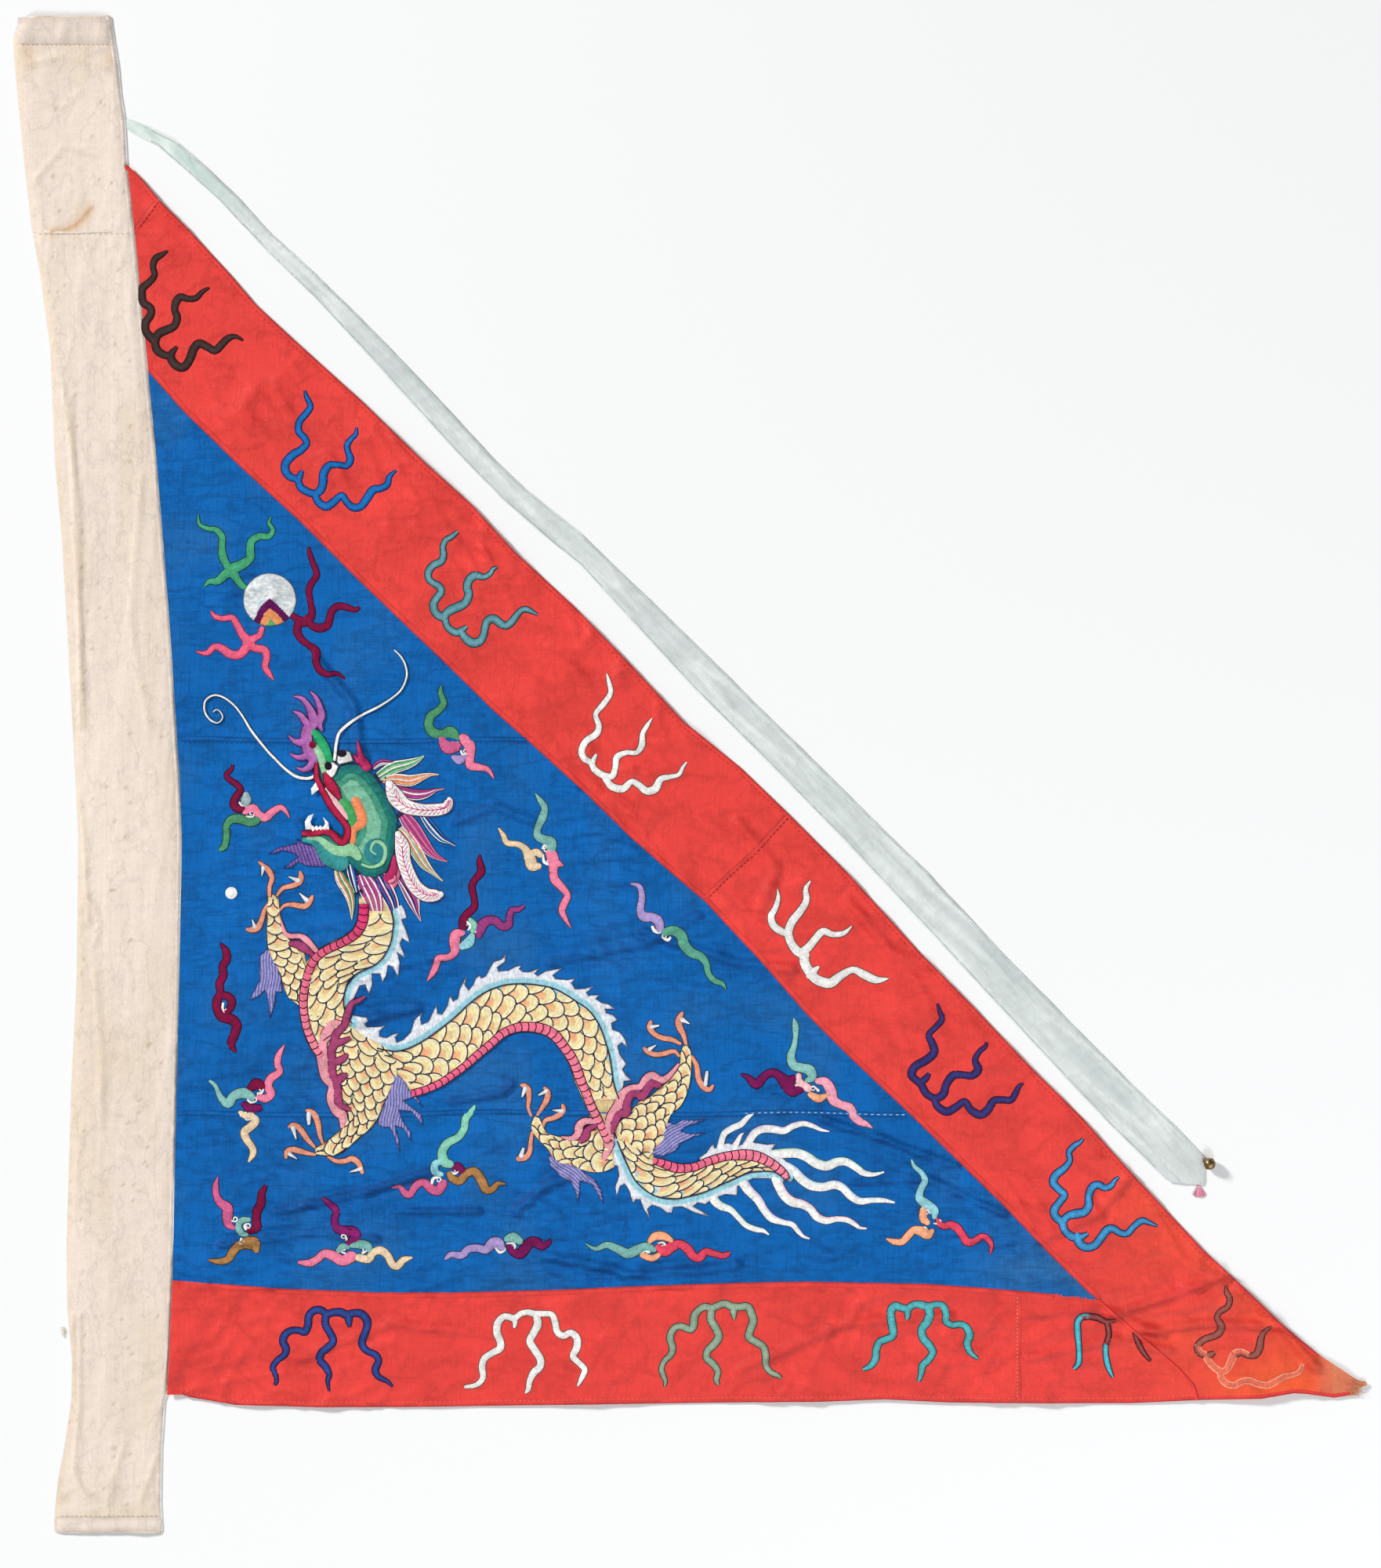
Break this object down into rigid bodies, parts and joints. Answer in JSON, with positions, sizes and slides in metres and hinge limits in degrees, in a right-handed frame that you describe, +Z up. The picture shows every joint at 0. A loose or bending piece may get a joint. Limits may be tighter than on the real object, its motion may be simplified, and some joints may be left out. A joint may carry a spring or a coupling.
{
  "type": "dragon banner",
  "caption": "Triangular dragon banner of embroidered blue silk with a red border, a pole sleeve, and a ribbon streamer carrying a bell and a tassel.",
  "frame": {"origin": "centre of the bounding box's underside, on the floor the banner lies on", "axes": "+Z up out of the embroidered face; +Y up along the pole sleeve, towards its closed end; +X from the sleeve towards the banner's tip"},
  "size_m": [1.728, 1.936, 0.015],
  "materials": {
    "sleeve_cotton": "plain undyed cotton, creased and lightly stained",
    "red_silk": "thin plain silk, faded to orange at the tip",
    "blue_silk": "thin plain silk with a soft sheen",
    "embroidery": "satin-stitched silk floss in shaded colours with couched dark outlines",
    "white_floss": "satin-stitched cream and white silk floss",
    "streamer_silk": "very thin pale green silk ribbon, folded and creased",
    "brass": "tarnished",
    "iron_shot": "dull",
    "pink_floss": "loose silk floss"
  },
  "bodies": {
    "sleeve": {"sleeve_back": "sleeve_cotton", "sleeve_front_upper": "sleeve_cotton", "sleeve_front_lower": "sleeve_cotton", "sleeve_fold_edge": "sleeve_cotton", "sleeve_seam_edge": "sleeve_cotton", "sleeve_top_hem": "sleeve_cotton", "sleeve_bottom_hem": "sleeve_cotton", "border_fly_top": "red_silk", "hoist_strip_red": "red_silk", "hoist_strip_blue": "blue_silk", "hoist_scroll": "embroidery"},
    "field": {"blue_panel_top": "blue_silk", "blue_panel_middle": "blue_silk", "blue_panel_bottom": "blue_silk", "border_fly_upper": "red_silk", "border_fly_lower": "red_silk", "border_foot_inner": "red_silk", "border_foot_outer": "red_silk", "dragon_body": "white_floss", "dragon_belly": "embroidery", "dragon_crest": "white_floss", "dragon_head": "embroidery", "dragon_mouth": "embroidery", "dragon_eyes": "white_floss", "dragon_teeth": "white_floss", "dragon_horns": "white_floss", "dragon_mane": "embroidery", "dragon_whiskers": "white_floss", "dragon_nose_crest": "embroidery", "dragon_beard": "embroidery", "dragon_leg_flames": "embroidery", "dragon_leg_hair": "embroidery", "dragon_toes": "embroidery", "dragon_talons": "white_floss", "dragon_tail_plumes": "white_floss", "pearl": "white_floss", "pearl_flames": "embroidery", "white_star": "white_floss", "cloud_tails": "embroidery", "cloud_curls": "white_floss", "fly_border_scrolls": "embroidery", "foot_border_scrolls": "embroidery"},
    "streamer_near": {"streamer_upper": "streamer_silk"},
    "streamer_end": {"streamer_lower": "streamer_silk", "bell_thread": "pink_floss", "tassel_thread": "pink_floss"},
    "bell": {"bell_cap": "brass", "bell_bowl": "brass", "bell_loop": "brass"},
    "pellet": {"bell_pellet": "iron_shot"},
    "tassel": {"tassel_head": "pink_floss", "tassel_skirt": "pink_floss"}
  },
  "joints": [
    {"name": "field_fold", "type": "hinge", "parent": "sleeve", "child": "field", "pos_m": [-0.644, -0.08, 0.005], "axis": [0.0325, -0.9995, 0], "range_deg": [0, 170]},
    {"name": "streamer_swing", "type": "hinge", "parent": "sleeve", "child": "streamer_near", "pos_m": [-0.711, 0.827, 0.0004], "axis": [0, 0, 1], "range_deg": [0, 110]},
    {"name": "streamer_fold", "type": "hinge", "parent": "streamer_near", "child": "streamer_end", "pos_m": [-0.1, 0.246, 0.0015], "axis": [-0.7071, -0.7071, 0], "range_deg": [0, 165]},
    {"name": "bell_swing", "type": "hinge", "parent": "streamer_end", "child": "bell", "pos_m": [0.655, -0.4915, 0.0032], "axis": [-0.5736, -0.8192, 0], "range_deg": [0, 90]},
    {"name": "pellet_slide", "type": "slide", "parent": "bell", "child": "pellet", "axis": [1, 0, 0], "range_m": [-0.001, 0.001]},
    {"name": "tassel_swing", "type": "hinge", "parent": "streamer_end", "child": "tassel", "pos_m": [0.6505, -0.521, 0.002], "axis": [0, 0, 1], "range_deg": [-25, 25]}
  ]
}
